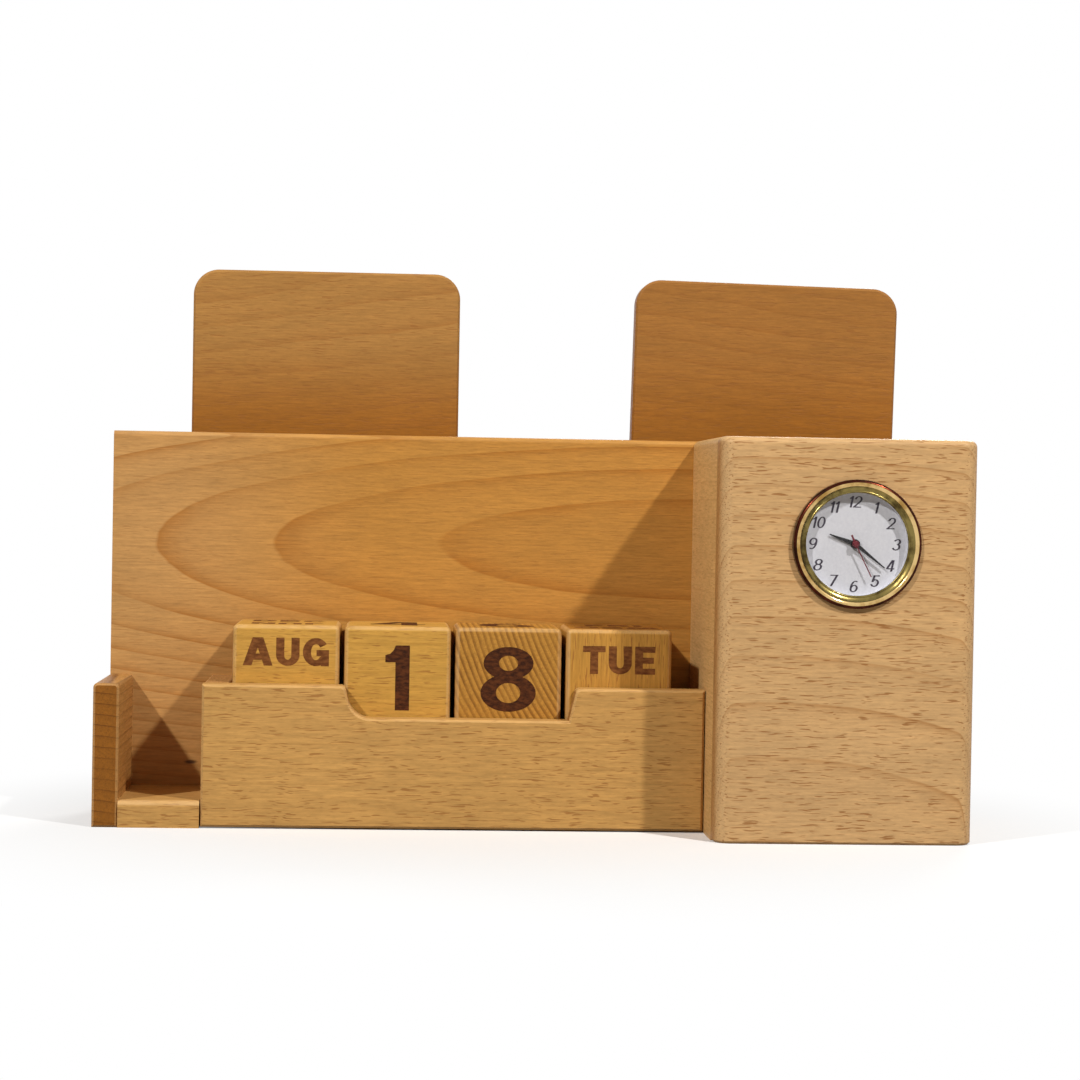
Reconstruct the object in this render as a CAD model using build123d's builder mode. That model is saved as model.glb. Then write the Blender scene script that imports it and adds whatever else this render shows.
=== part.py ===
from build123d import *
import os
from math import cos, radians, sin

# Wooden desk calendar: a box with a push-in clock, a tray of four calendar cubes over a shallow
# drawer, an open bay at the left end and two tall rests behind the back panel.
# Millimetres. +X runs to the right along the front, -Y points out of the front, +Z is up.
# The origin is the middle of the whole object's footprint, on the table.

# ---------------------------------------------------------------- driving dimensions: the body
board = 7.5  # planed boards of the walls, the fence, the panel and the rests
floor_board = 8.0  # boards that lie on the table
panel_height = 116.5  # back panel and clock box
panel_end_inset = 0.6  # left end of the back panel, in from the end wall
tray_wall_height = 42.0  # end wall, tray side and drawer front
bay_width = 23.6  # open bay, between the end wall and the drawer front
tray_depth = 40.8  # face of the drawer front, from the back panel
slot_depth = 14.0  # slot for a telephone or letters, between panel and rests

# ---------------------------------------------------------------- driving dimensions: the clock box
box_width = 75.0
box_depth = 64.0  # outside face, from the back panel
box_corner_radius = 5.0
box_top_radius = 2.0

# ---------------------------------------------------------------- driving dimensions: the rests
rest_width = 83.9
rest_height = 168.3
rest_corner_radius = 8.0
left_rest_inset = 22.5  # from the left end
right_rest_inset = 10.8  # from the right end, at the foot
right_rest_lean = 1.1  # degrees, because that board is glued a little out of square

# ---------------------------------------------------------------- driving dimensions: tray and cubes
cube_names = ["month_cube", "tens_cube", "units_cube", "weekday_cube"]
cube_size = 31.5
cube_gap = 1.35
cube_side_room = 0.65  # tray side to the first cube
cube_end_room = 9.4  # last cube to the clock box
cube_front_room = 0.5  # back of the drawer front to the cubes
shelf_top = 27.8  # the cubes stand here
shelf_board = 5.0

# ---------------------------------------------------------------- driving dimensions: the drawer
drawer_foot_gap = 0.4  # under the drawer front
drawer_end_gap = 0.3  # each end of the drawer front
drawer_face_gap = 0.3  # drawer front to the case behind it
drawer_side_gap = 0.4  # drawer box to the tray side and the clock box
drawer_run_gap = 0.3  # drawer bottom to the floor board
drawer_head_gap = 0.6  # drawer sides to the shelf
drawer_back_gap = 0.6  # drawer back to the back panel
drawer_board = 5.0
drawer_bottom_board = 3.0
notch_left_inset = 0.5  # finger notch at the top, inside the left face of the second cube
notch_right_reach = 4.1  # and past the right face of the third
notch_side_slope = 2.2  # how far each side comes in on the way down
notch_depth = 9.5
notch_left_radius = 7.0
notch_right_radius = 4.0
notch_lip_radius = 1.6

# ---------------------------------------------------------------- driving dimensions: eased edges
panel_edge_radius = 1.6
wall_edge_radius = 1.4
bay_edge_radius = 2.0
least_flat = 0.1  # stays between two eased edges of one board
eased_edge = 0.7  # small bevels left by the sanding block
cube_edge = 1.0

# ---------------------------------------------------------------- driving dimensions: the clock insert
clock_from_box_side = 39.4  # axis, from the left face of the box
clock_height = 86.2
hole_diameter = 35.0
bezel_diameter = 37.0
bezel_proud = 3.4
sight_diameter = 29.4  # clear opening of the bezel
skirt_height = 2.5  # upright outer side of the bezel
rim_ease = 0.6  # bevel between that side and the rim
rim_width = 1.3  # from the outer side to the inner edge of the rim
hollow_sink = 1.5  # hollow between the rim and the glass, below the rim
bead_width = 0.7  # bead over the edge of the glass
bead_height = 0.55
cup_diameter = 33.2
cup_wall = 0.8
cup_rim_proud = 0.5  # rim of the cup, in front of the box face
cup_depth = 8.4  # rear edge of the cup, behind the box face
gasket_gap = 0.08
gasket_start = 0.6
gasket_length = 4.4
lens_thickness = 1.2
lens_side_gap = 0.1
dial_depth = 1.9  # face of the dial, behind the box face
dial_thickness = 0.4
dial_ring_wall = 0.9
movement_diameter = 30.4
cover_thickness = 1.0
cell_diameter = 6.8
cell_height = 2.6
cell_offset = 8.0  # from the clock's axis
cell_angle = -45.0  # seen from the front, from +X towards +Z
pocket_gap = 0.1
knob_offset = 7.0
knob_angle = 135.0
knob_diameter = 5.2
knob_thickness = 1.6
knob_gap = 0.35
knob_stem_diameter = 1.8
knob_stem_length = 3.0
knob_flutes = 8
flute_radius = 0.5

# ---------------------------------------------------------------- driving dimensions: the hands
running_gap = 0.05  # radial, between the nested pipes
second_arbor_diameter = 0.7
pipe_wall = 0.2
hand_thickness = 0.2
hand_spacing = 0.35  # air between one hand and the next
dial_to_hour_hand = 0.4
pipe_step = 0.7  # each inner pipe reaches this much further back
hour_pipe_depth = 2.1  # into the movement
hour_hand_length = 7.9
hour_hand_width = 1.5
hour_hand_angle = 290.0  # clockwise from twelve
minute_hand_length = 10.9
minute_hand_width = 1.2
minute_hand_angle = 128.3
second_hand_length = 10.4
second_hand_width = 0.3
second_hand_angle = 153.8
second_tail_length = 2.9
second_tail_width = 0.55
hand_tip_width = 0.3
hand_hub_margin = 0.55  # hub ring, outside its pipe
second_hub_diameter = 2.1
second_cap_diameter = 1.7  # low cone over the hub
second_cap_height = 0.25
second_cap_taper = 30.0  # degrees

# ---------------------------------------------------------------- places worked out from the sizes
cube_pitch = cube_size + cube_gap
cube_row = len(cube_names) * cube_pitch - cube_gap
tray_width = cube_side_room + cube_row + cube_end_room
overall_width = board + bay_width + drawer_end_gap + board + tray_width + box_width
overall_depth = bezel_proud + box_depth + board + slot_depth + board
left_x = -overall_width / 2
right_x = overall_width / 2
box_face_y = -overall_depth / 2 + bezel_proud
panel_y = box_face_y + box_depth
panel_back_y = panel_y + board
rest_y = panel_back_y + slot_depth
rest_back_y = rest_y + board
drawer_face_y = panel_y - tray_depth
drawer_front_back_y = drawer_face_y + board
case_face_y = drawer_front_back_y + drawer_face_gap
bay_x = left_x + board
bay_right = bay_x + bay_width
case_x = bay_right + drawer_end_gap
tray_x = case_x + board
first_cube_x = tray_x + cube_side_room
box_x = right_x - box_width

os.makedirs("parts", exist_ok=True)
made = {}


def keep(builder, label):
    """Name a finished piece and write its file."""
    builder.part.label = label
    export_step(builder.part, f"parts/{label}.step")
    made[label] = builder.part


def from_behind(y):
    """An upright sketch plane at depth y that looks out of the front, so extrusions come forward."""
    return Plane.XZ.offset(-y)


def standing_board(label, x_low, x_high, y_front, y_back, z_low, z_high, top_radius=0.0, sides="<>"):
    """A board between two corners, with its long top edges eased on the sides that are asked for."""
    with BuildPart() as piece:
        with BuildSketch(Plane.XY.offset(z_low)):
            with Locations((x_low, y_front)):
                Rectangle(x_high - x_low, y_back - y_front, align=(Align.MIN, Align.MIN))
        extrude(amount=z_high - z_low)
        if top_radius > 0:
            run = Axis.Y if x_high - x_low < y_back - y_front else Axis.X
            across = Axis.X if run == Axis.Y else Axis.Y
            rims = piece.faces().sort_by(Axis.Z)[-1].edges().filter_by(run).sort_by(across)
            chosen = {"<>": rims, "<": rims[:1], ">": rims[-1:]}[sides]
            fillet(chosen, radius=min(top_radius, board / 2 - least_flat))
    keep(piece, label)


# ---------------------------------------------------------------- end wall
with BuildPart() as end_wall:
    with BuildSketch(Plane.XY):
        with Locations((left_x, drawer_face_y)):
            Rectangle(board, tray_depth, align=(Align.MIN, Align.MIN))
    extrude(amount=tray_wall_height)
    top_rims = end_wall.faces().sort_by(Axis.Z)[-1].edges().filter_by(Axis.Y)
    fillet(top_rims, radius=wall_edge_radius)
    chamfer(end_wall.faces().sort_by(Axis.Y)[0].edges(), length=eased_edge)
keep(end_wall, "end_wall")

# ---------------------------------------------------------------- floor board, notched for the drawer front
with BuildPart() as base_board:
    with BuildSketch(Plane.XY):
        with BuildLine():
            Polyline(
                (bay_x, panel_y),
                (bay_x, drawer_face_y),
                (bay_right, drawer_face_y),
                (bay_right, case_face_y),
                (box_x, case_face_y),
                (box_x, panel_y),
                close=True,
            )
        make_face()
    extrude(amount=floor_board)
    bay_lip = base_board.edges().filter_by(Axis.X).group_by(Axis.Z)[-1].sort_by(Axis.Y)[0]
    fillet(bay_lip, radius=bay_edge_radius)
keep(base_board, "base_board")

# ---------------------------------------------------------------- tray side and shelf
standing_board("tray_side", case_x, tray_x, case_face_y, panel_y, floor_board, tray_wall_height,
               eased_edge)
standing_board("cube_shelf", tray_x, box_x, case_face_y, panel_y, shelf_top - shelf_board, shelf_top)

# ---------------------------------------------------------------- back panel and the slot's floor
standing_board("back_panel", left_x + panel_end_inset, right_x, panel_y, panel_back_y, 0, panel_height,
               panel_edge_radius)
standing_board("slot_floor", left_x + panel_end_inset, right_x, panel_back_y, rest_y, 0, floor_board)


# ---------------------------------------------------------------- the two rests
def rest(label, centre_x, lean):
    """A tall board with rounded top corners. One that leans has its foot cut level."""
    sunk = rest_width / 2 * sin(radians(lean))
    with BuildPart() as piece:
        with BuildSketch(from_behind(rest_back_y)) as outline:
            with Locations(Location((centre_x, -sunk, 0), (0, 0, -lean))):
                Rectangle(rest_width, rest_height, align=(Align.CENTER, Align.MIN))
            fillet(outline.vertices().sort_by(Axis.Y)[2:], radius=rest_corner_radius)
            with Locations((centre_x, 0)):
                Rectangle(2 * rest_width, rest_width, align=(Align.CENTER, Align.MAX), mode=Mode.SUBTRACT)
        extrude(amount=board)
        front_rims = piece.faces().sort_by(Axis.Y)[0].edges()
        back_rims = piece.faces().sort_by(Axis.Y)[-1].edges()
        chamfer(front_rims.sort_by(Axis.Z)[1:] + back_rims.sort_by(Axis.Z)[1:], length=eased_edge)
    keep(piece, label)


rest("left_rest", left_x + left_rest_inset + rest_width / 2, 0.0)
rest("right_rest", right_x - right_rest_inset - rest_width / 2, right_rest_lean)

# ---------------------------------------------------------------- clock box
clock_x = box_x + clock_from_box_side
box_back_of_front = box_face_y + board

with BuildPart() as box_front:
    with BuildSketch(Plane.XY):
        with Locations((box_x, box_face_y)):
            Rectangle(box_width, board, align=(Align.MIN, Align.MIN))
    extrude(amount=panel_height)
    corners = box_front.edges().filter_by(Axis.Z).group_by(Axis.Y)[0]
    fillet(corners, radius=box_corner_radius)
    top_edges = box_front.faces().sort_by(Axis.Z)[-1].edges().sort_by(Axis.Y)[:-1]
    fillet(top_edges, radius=box_top_radius)
    foot_edges = box_front.faces().sort_by(Axis.Z)[0].edges().sort_by(Axis.Y)[:-1]
    chamfer(foot_edges, length=eased_edge)
    with BuildSketch(from_behind(box_back_of_front)):
        with Locations((clock_x, clock_height)):
            Circle(hole_diameter / 2)
    extrude(amount=board, mode=Mode.SUBTRACT)
keep(box_front, "box_front")

standing_board("box_left_side", box_x, box_x + board, box_back_of_front, panel_y, 0, panel_height,
               box_top_radius, "<")
standing_board("box_right_side", right_x - board, right_x, box_back_of_front, panel_y, 0, panel_height,
               box_top_radius, ">")
standing_board("box_floor", box_x + board, right_x - board, box_back_of_front, panel_y, 0, floor_board)

# ---------------------------------------------------------------- drawer
drawer_left = tray_x + drawer_side_gap
drawer_right = box_x - drawer_side_gap
drawer_back_y = panel_y - drawer_back_gap
drawer_floor_z = floor_board + drawer_run_gap
drawer_sides_z = drawer_floor_z + drawer_bottom_board
drawer_top_z = shelf_top - shelf_board - drawer_head_gap
notch_foot_z = tray_wall_height - notch_depth
notch_left_x = first_cube_x + cube_pitch + notch_left_inset
notch_right_x = first_cube_x + 2 * cube_pitch + cube_size + notch_right_reach

with BuildPart() as drawer_front:
    with BuildSketch(from_behind(drawer_front_back_y)) as front_outline:
        with BuildLine():
            Polyline(
                (case_x, drawer_foot_gap),
                (box_x - drawer_end_gap, drawer_foot_gap),
                (box_x - drawer_end_gap, tray_wall_height),
                (notch_right_x, tray_wall_height),
                (notch_right_x - notch_side_slope, notch_foot_z),
                (notch_left_x + notch_side_slope, notch_foot_z),
                (notch_left_x, tray_wall_height),
                (case_x, tray_wall_height),
                close=True,
            )
        make_face()
        notch_foot = front_outline.vertices().group_by(Axis.Y)[1].sort_by(Axis.X)
        fillet(notch_foot[0], radius=notch_left_radius)
        fillet(notch_foot[-1], radius=notch_right_radius)
        notch_lips = front_outline.vertices().group_by(Axis.Y)[-1].sort_by(Axis.X)[1:3]
        fillet(notch_lips, radius=notch_lip_radius)
    extrude(amount=board)
    chamfer(drawer_front.faces().sort_by(Axis.Y)[0].edges(), length=eased_edge)
keep(drawer_front, "drawer_front")

standing_board("drawer_bottom", drawer_left, drawer_right, drawer_front_back_y, drawer_back_y,
               drawer_floor_z, drawer_sides_z)
standing_board("drawer_left_side", drawer_left, drawer_left + drawer_board, drawer_front_back_y,
               drawer_back_y, drawer_sides_z, drawer_top_z)
standing_board("drawer_right_side", drawer_right - drawer_board, drawer_right, drawer_front_back_y,
               drawer_back_y, drawer_sides_z, drawer_top_z)
standing_board("drawer_back", drawer_left + drawer_board, drawer_right - drawer_board,
               drawer_back_y - drawer_board, drawer_back_y, drawer_sides_z, drawer_top_z)

# ---------------------------------------------------------------- calendar cubes
cube_face_y = drawer_front_back_y + cube_front_room
for place, label in enumerate(cube_names):
    with BuildPart() as cube:
        with BuildSketch(Plane.XY.offset(shelf_top)):
            with Locations((first_cube_x + place * cube_pitch, cube_face_y)):
                Rectangle(cube_size, cube_size, align=(Align.MIN, Align.MIN))
        extrude(amount=cube_size)
        chamfer(cube.edges(), length=cube_edge)
    keep(cube, label)

# ---------------------------------------------------------------- clock insert: turned parts
# Profiles are drawn as (radius, depth behind the box face) and turned about the clock's axis.
clock_section = Plane((clock_x, box_face_y, clock_height))
clock_axis = Axis((clock_x, box_face_y, clock_height), (0, 1, 0))
bezel_r = bezel_diameter / 2
sight_r = sight_diameter / 2
cup_r = cup_diameter / 2
cup_bore_r = cup_r - cup_wall
lens_r = cup_bore_r - lens_side_gap
lens_face = -cup_rim_proud - lens_thickness
movement_r = movement_diameter / 2
movement_rear = cup_depth
dial_back = dial_depth + dial_thickness


def turned(label, *outline):
    """Turn a closed (radius, depth) outline about the clock's axis."""
    with BuildPart() as piece:
        with BuildSketch(clock_section):
            with BuildLine():
                Polyline(*outline, close=True)
            make_face()
        revolve(axis=clock_axis)
    keep(piece, label)


# The bezel rises to a rolled rim, falls into a hollow and ends in a bead over the edge of the glass.
bead_face = lens_face - bead_height
turned(
    "bezel",
    (sight_r, lens_face),
    (lens_r + lens_side_gap, lens_face),
    (lens_r + lens_side_gap, -cup_rim_proud),
    (cup_r, -cup_rim_proud),
    (cup_r, 0),
    (bezel_r, 0),
    (bezel_r, -skirt_height),
    (bezel_r - rim_ease, -bezel_proud),
    (bezel_r - rim_width, -bezel_proud),
    (sight_r + bead_width, -bezel_proud + hollow_sink),
    (sight_r + bead_width / 2, bead_face),
)

turned("lens", (0, lens_face), (lens_r, lens_face), (lens_r, -cup_rim_proud), (0, -cup_rim_proud))


def ring(label, bore_r, outer_r, front, back):
    """A plain turned ring, disc or pipe between two depths."""
    turned(label, (bore_r, front), (outer_r, front), (outer_r, back), (bore_r, back))


ring("clock_cup", cup_bore_r, cup_r, -cup_rim_proud, cup_depth)

gasket_r = hole_diameter / 2 - gasket_gap
gasket_end = gasket_start + gasket_length
ring("gasket", cup_r, gasket_r, gasket_start, gasket_end)
ring("dial_ring", cup_bore_r - dial_ring_wall, cup_bore_r, -cup_rim_proud, dial_depth)

# ---------------------------------------------------------------- clock insert: hands on nested pipes
second_r = second_arbor_diameter / 2
minute_bore_r = second_r + running_gap
minute_pipe_r = minute_bore_r + pipe_wall
hour_bore_r = minute_pipe_r + running_gap
hour_pipe_r = hour_bore_r + pipe_wall
centre_bore_r = hour_pipe_r + running_gap

hour_hand_back = dial_depth - dial_to_hour_hand
minute_hand_back = hour_hand_back - hand_thickness - hand_spacing
second_hand_back = minute_hand_back - hand_thickness - hand_spacing
hour_pipe_end = dial_back + hour_pipe_depth
minute_pipe_end = hour_pipe_end + pipe_step
second_arbor_end = minute_pipe_end + pipe_step

ring("dial", centre_bore_r, cup_bore_r, dial_depth, dial_back)


def clock_plane(depth):
    """A sketch plane across the clock's axis, at a depth behind the box face, that faces forward."""
    return Plane((clock_x, box_face_y + depth, clock_height), x_dir=(1, 0, 0), z_dir=(0, -1, 0))


def hand(label, depth, angle, length, width, pipe_r):
    """A tapered blade with a hub ring that is pressed on its pipe."""
    with BuildPart() as piece:
        with BuildSketch(clock_plane(depth)):
            with Locations(Location((0, 0, 0), (0, 0, -angle))):
                Polygon(
                    (-width / 2, 0),
                    (width / 2, 0),
                    (hand_tip_width / 2, length),
                    (-hand_tip_width / 2, length),
                    align=None,
                )
            Circle(pipe_r + hand_hub_margin)
            Circle(pipe_r, mode=Mode.SUBTRACT)
        extrude(amount=hand_thickness)
    keep(piece, label)


hand("hour_hand", hour_hand_back, hour_hand_angle, hour_hand_length, hour_hand_width, hour_pipe_r)
hand("minute_hand", minute_hand_back, minute_hand_angle, minute_hand_length, minute_hand_width,
     minute_pipe_r)

with BuildPart() as second_hand:
    with BuildSketch(clock_plane(second_hand_back)):
        with Locations(Location((0, 0, 0), (0, 0, -second_hand_angle))):
            Rectangle(second_hand_width, second_hand_length, align=(Align.CENTER, Align.MIN))
            Rectangle(second_tail_width, second_tail_length, align=(Align.CENTER, Align.MAX))
        Circle(second_hub_diameter / 2)
    extrude(amount=hand_thickness)
    with BuildSketch(clock_plane(second_hand_back - hand_thickness)):
        Circle(second_cap_diameter / 2)
    extrude(amount=second_cap_height, taper=second_cap_taper)
keep(second_hand, "second_hand")

hour_hand_face = hour_hand_back - hand_thickness
minute_hand_face = minute_hand_back - hand_thickness
ring("hour_pipe", hour_bore_r, hour_pipe_r, hour_hand_face, hour_pipe_end)
ring("minute_pipe", minute_bore_r, minute_pipe_r, minute_hand_face, minute_pipe_end)
ring("second_arbor", 0, second_r, second_hand_back, second_arbor_end)

# ---------------------------------------------------------------- clock insert: movement, cell and cover
stem_start = movement_rear - knob_stem_length
stem_bore_r = knob_stem_diameter / 2 + running_gap
cell_place = (cell_offset * cos(radians(cell_angle)), cell_offset * sin(radians(cell_angle)))
knob_place = (knob_offset * cos(radians(knob_angle)), knob_offset * sin(radians(knob_angle)))

with BuildPart() as movement:
    with BuildSketch(clock_plane(movement_rear)):
        Circle(movement_r)
    extrude(amount=movement_rear - dial_back)
    for bore_r, bore_end in (
        (centre_bore_r, hour_pipe_end),
        (hour_bore_r, minute_pipe_end),
        (minute_bore_r, second_arbor_end + running_gap),
    ):
        with BuildSketch(clock_plane(bore_end)):
            Circle(bore_r)
        extrude(amount=bore_end - dial_back, mode=Mode.SUBTRACT)
    with BuildSketch(clock_plane(movement_rear)):
        with Locations(cell_place):
            Circle(cell_diameter / 2 + pocket_gap)
    extrude(amount=cell_height, mode=Mode.SUBTRACT)
    with BuildSketch(clock_plane(movement_rear)):
        with Locations(knob_place):
            Circle(stem_bore_r)
    extrude(amount=knob_stem_length + running_gap, mode=Mode.SUBTRACT)
keep(movement, "movement")

with BuildPart() as button_cell:
    with BuildSketch(clock_plane(movement_rear)):
        with Locations(cell_place):
            Circle(cell_diameter / 2)
    extrude(amount=cell_height)
keep(button_cell, "button_cell")

cover_rear = cup_depth + cover_thickness
with BuildPart() as back_cover:
    with BuildSketch(clock_plane(cover_rear)):
        Circle(cup_r)
        with Locations(knob_place):
            Circle(stem_bore_r, mode=Mode.SUBTRACT)
    extrude(amount=cover_thickness)
keep(back_cover, "back_cover")

knob_face = cover_rear + knob_gap
knob_rear = knob_face + knob_thickness
with BuildPart() as setting_knob:
    with BuildSketch(clock_plane(knob_rear)):
        with Locations(knob_place):
            Circle(knob_diameter / 2)
            with PolarLocations(knob_diameter / 2, knob_flutes):
                Circle(flute_radius, mode=Mode.SUBTRACT)
    extrude(amount=knob_thickness)
    with BuildSketch(clock_plane(knob_face)):
        with Locations(knob_place):
            Circle(knob_stem_diameter / 2)
    extrude(amount=knob_face - stem_start)
keep(setting_knob, "setting_knob")

whole = Compound(children=list(made.values())).bounding_box()
print(f"{len(made)} pieces, {whole.size.X:.2f} x {whole.size.Y:.2f} x {whole.size.Z:.2f} mm")
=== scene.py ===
from dataclasses import dataclass
from math import cos, pi, radians, sin, tau

import bmesh
import bpy
from mathutils import Matrix, Vector


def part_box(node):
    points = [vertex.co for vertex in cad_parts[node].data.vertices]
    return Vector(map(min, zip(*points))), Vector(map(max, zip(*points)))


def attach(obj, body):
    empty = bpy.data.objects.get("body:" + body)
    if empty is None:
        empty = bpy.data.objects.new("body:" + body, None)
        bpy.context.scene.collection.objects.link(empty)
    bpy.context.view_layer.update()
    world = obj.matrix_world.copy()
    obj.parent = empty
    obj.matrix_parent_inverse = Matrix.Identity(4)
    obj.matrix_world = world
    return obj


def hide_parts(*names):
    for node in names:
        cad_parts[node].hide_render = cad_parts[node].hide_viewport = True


# Looks of a beech desk calendar: boards, burnt cubes and a push-in clock. Metres, in the CAD's frame:
# +X runs to the right along the front, -Y points out of the front, +Z is up.

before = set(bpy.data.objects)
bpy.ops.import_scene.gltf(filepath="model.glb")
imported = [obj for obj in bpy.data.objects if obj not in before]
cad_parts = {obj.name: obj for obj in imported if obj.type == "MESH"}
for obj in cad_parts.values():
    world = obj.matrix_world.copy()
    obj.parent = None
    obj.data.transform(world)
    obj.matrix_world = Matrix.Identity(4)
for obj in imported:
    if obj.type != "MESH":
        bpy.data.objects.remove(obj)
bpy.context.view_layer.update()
MM = 0.001
X, Y, Z = range(3)


def srgb(red, green, blue):
    """A colour as it reads on a screen, 0 to 255, as the linear colour that a shader takes."""
    def linear(value):
        share = value / 255
        return share / 12.92 if share <= 0.04045 else ((share + 0.055) / 1.055) ** 2.4
    return (linear(red), linear(green), linear(blue), 1.0)


# ---------------------------------------------------------------- camera
CAMERA_PLACE = (-43.2 * MM, -764.3 * MM, 95.6 * MM)
CAMERA_YAW = radians(3.498)  # towards +X
CAMERA_PITCH = radians(-0.77)
CAMERA_ROLL = radians(0.996)
CAMERA_LENS = 84.64  # in millimetres, as is the sensor's width
CAMERA_SENSOR = 36
CAMERA_NEAR = 0.01
CAMERA_FAR = 20


def make_camera():
    data = bpy.data.cameras.new("camera")
    data.lens = CAMERA_LENS
    data.sensor_width = CAMERA_SENSOR
    data.clip_start = CAMERA_NEAR
    data.clip_end = CAMERA_FAR
    camera = bpy.data.objects.new("camera", data)
    bpy.context.scene.collection.objects.link(camera)
    turn = Matrix.Rotation(-CAMERA_YAW, 4, "Z") @ Matrix.Rotation(pi / 2 + CAMERA_PITCH, 4, "X")
    camera.matrix_world = Matrix.Translation(CAMERA_PLACE) @ turn @ Matrix.Rotation(CAMERA_ROLL, 4, "Z")
    bpy.context.scene.camera = camera


# ---------------------------------------------------------------- light, floor and backdrop
LAMPS = (  # name, degrees to the right of the front, degrees up, watts, width
    ("lamp_right", 43, 44, 19.3, 0.07),
    ("lamp_left", -45, 40, 18.8, 0.07),
    ("lamp_back", 160, 32, 14.0, 0.6),
)
LAMP_DISTANCE = 1.6
LAMP_AIM = Vector((0.0, -0.01, 0.06))
LAMP_COLOUR = (1.0, 0.985, 0.96)
AMBIENT = 0.07
AMBIENT_TINT = (1.0, 0.94, 0.86, 1.0)
WHITE = (1.0, 1.0, 1.0, 1.0)
FLOOR_RADIUS = 6.0
FLOOR_SIDES = 96
FLOOR_PAPER = (0.80, 0.80, 0.80, 1.0)
FLOOR_LIT = 0.05  # the floor keeps its own shadows out to here
FLOOR_WHITE = 0.21  # and is plain white to the camera from here
FLOOR_BOUNCE = (0.34, 0.31, 0.27, 1.0)  # what the floor throws back on the object


def make_lamps():
    for name, azimuth, elevation, power, width in LAMPS:
        data = bpy.data.lights.new(name, "AREA")
        data.shape = "DISK"
        data.size = width
        data.energy = power
        data.color = LAMP_COLOUR
        lamp = bpy.data.objects.new(name, data)
        bpy.context.scene.collection.objects.link(lamp)
        side, rise = radians(azimuth), radians(elevation)
        away = Vector((sin(side) * cos(rise), -cos(side) * cos(rise), sin(rise)))
        lamp.location = LAMP_AIM + LAMP_DISTANCE * away
        lamp.rotation_euler = away.to_track_quat("Z", "Y").to_euler()


class Graph:
    """The nodes of one material or world, with short calls for the kinds used here."""

    def __init__(self, tree):
        self.tree = tree

    def node(self, kind, inputs=(), **settings):
        made = self.tree.nodes.new("ShaderNode" + kind)
        for key, value in settings.items():
            setattr(made, key, value)
        for key, value in dict(inputs).items():
            self.feed(made.inputs[key], value)
        return made

    def feed(self, socket, value):
        if isinstance(value, bpy.types.NodeSocket):
            self.tree.links.new(value, socket)
        else:
            socket.default_value = value

    def math(self, operation, first, second=0.0, third=0.0):
        return self.node("Math", {0: first, 1: second, 2: third}, operation=operation).outputs[0]

    def vector(self, operation, first, second=(0.0, 0.0, 0.0)):
        return self.node("VectorMath", {0: first, 1: second}, operation=operation).outputs[0]

    def length(self, vector):
        return self.node("VectorMath", {0: vector}, operation="LENGTH").outputs["Value"]

    def parts(self, vector):
        """The X, Y and Z of a vector."""
        return self.node("SeparateXYZ", {0: vector}).outputs

    def joined(self, x, y=0.0, z=0.0):
        """A vector from its X, Y and Z."""
        return self.node("CombineXYZ", {0: x, 1: y, 2: z}).outputs[0]

    def noise(self, place, scale, detail=2.0, roughness=0.5):
        inputs = {"Vector": place, "Scale": scale, "Detail": detail, "Roughness": roughness}
        return self.node("TexNoise", inputs).outputs["Fac"]

    def span(self, value, low, high, at_low=0.0, at_high=1.0):
        """value as it goes smoothly from low to high, as a number from at_low to at_high."""
        inputs = {"Value": value, 1: low, 2: high, 3: at_low, 4: at_high}
        return self.node("MapRange", inputs, interpolation_type="SMOOTHSTEP").outputs[0]

    def ramp(self, value, *stops):
        """The grey that value has on a line through (value, level) stops."""
        made = self.node("ValToRGB", {0: value})
        elements = made.color_ramp.elements
        while len(elements) < len(stops):
            elements.new(0.5)
        for element, (place, level) in zip(elements, stops):
            element.position = place
            element.color = (level, level, level, 1.0)
        return made.outputs[0]

    def mix(self, factor, first, second, blend_type="MIX"):
        """A blend of two colours, which are the node's sockets 6 and 7 and its output 2."""
        made = self.node("Mix", data_type="RGBA", blend_type=blend_type)
        self.feed(made.inputs[0], factor)
        self.feed(made.inputs[6], first)
        self.feed(made.inputs[7], second)
        return made.outputs[2]

    def bump(self, height, strength, distance):
        inputs = {"Height": height, "Strength": strength, "Distance": distance}
        return self.node("Bump", inputs).outputs[0]


def object_place(graph):
    """Where a point lies on its object, in metres."""
    return graph.node("TexCoord").outputs["Object"]


def seen_directly(graph):
    """1 for rays of the camera, of reflections and through glass, which see the backdrop's white."""
    path = graph.node("LightPath").outputs
    direct = graph.math("MAXIMUM", path["Is Camera Ray"], path["Is Glossy Ray"])
    return graph.math("MAXIMUM", direct, path["Is Transmission Ray"])


def make_world():
    world = bpy.data.worlds.new("studio")
    world.use_nodes = True
    graph = Graph(world.node_tree)
    background = world.node_tree.nodes["Background"]
    direct = seen_directly(graph)
    graph.feed(background.inputs["Color"], graph.mix(direct, AMBIENT_TINT, WHITE))
    graph.feed(background.inputs["Strength"], graph.span(direct, 0.0, 1.0, AMBIENT, 1.0))
    bpy.context.scene.world = world


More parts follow.
